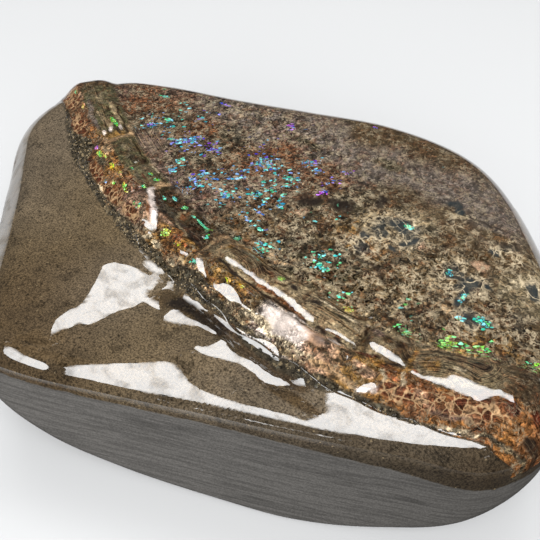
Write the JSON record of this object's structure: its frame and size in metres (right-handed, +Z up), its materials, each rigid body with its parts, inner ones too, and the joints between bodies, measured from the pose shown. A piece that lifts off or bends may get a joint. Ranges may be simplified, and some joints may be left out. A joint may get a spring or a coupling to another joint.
{
  "type": "ammolite specimen",
  "caption": "Freeform polished siltstone with part of an iridescent fossil ammonite shell bedded in its top, resting on a flat ground underside.",
  "frame": {"origin": "centre of the whole stone in plan, at the level of its flat underside", "axes": "+X along the shell's keel, from the chambers nearest the narrow end of the stone to its broad end; +Y from the bare rock across the keel to the shell's flank; +Z up"},
  "size_m": [0.2009, 0.1474, 0.0486],
  "materials": {
    "rock": "grey-brown siltstone, glossy sealed top, matt ground side wall",
    "shell": "glossy fossil shell, brown and olive with red, green and blue flashes of nacre"
  },
  "bodies": {
    "root": {"matrix": "rock", "ammonite_shell": "shell"}
  },
  "joints": []
}
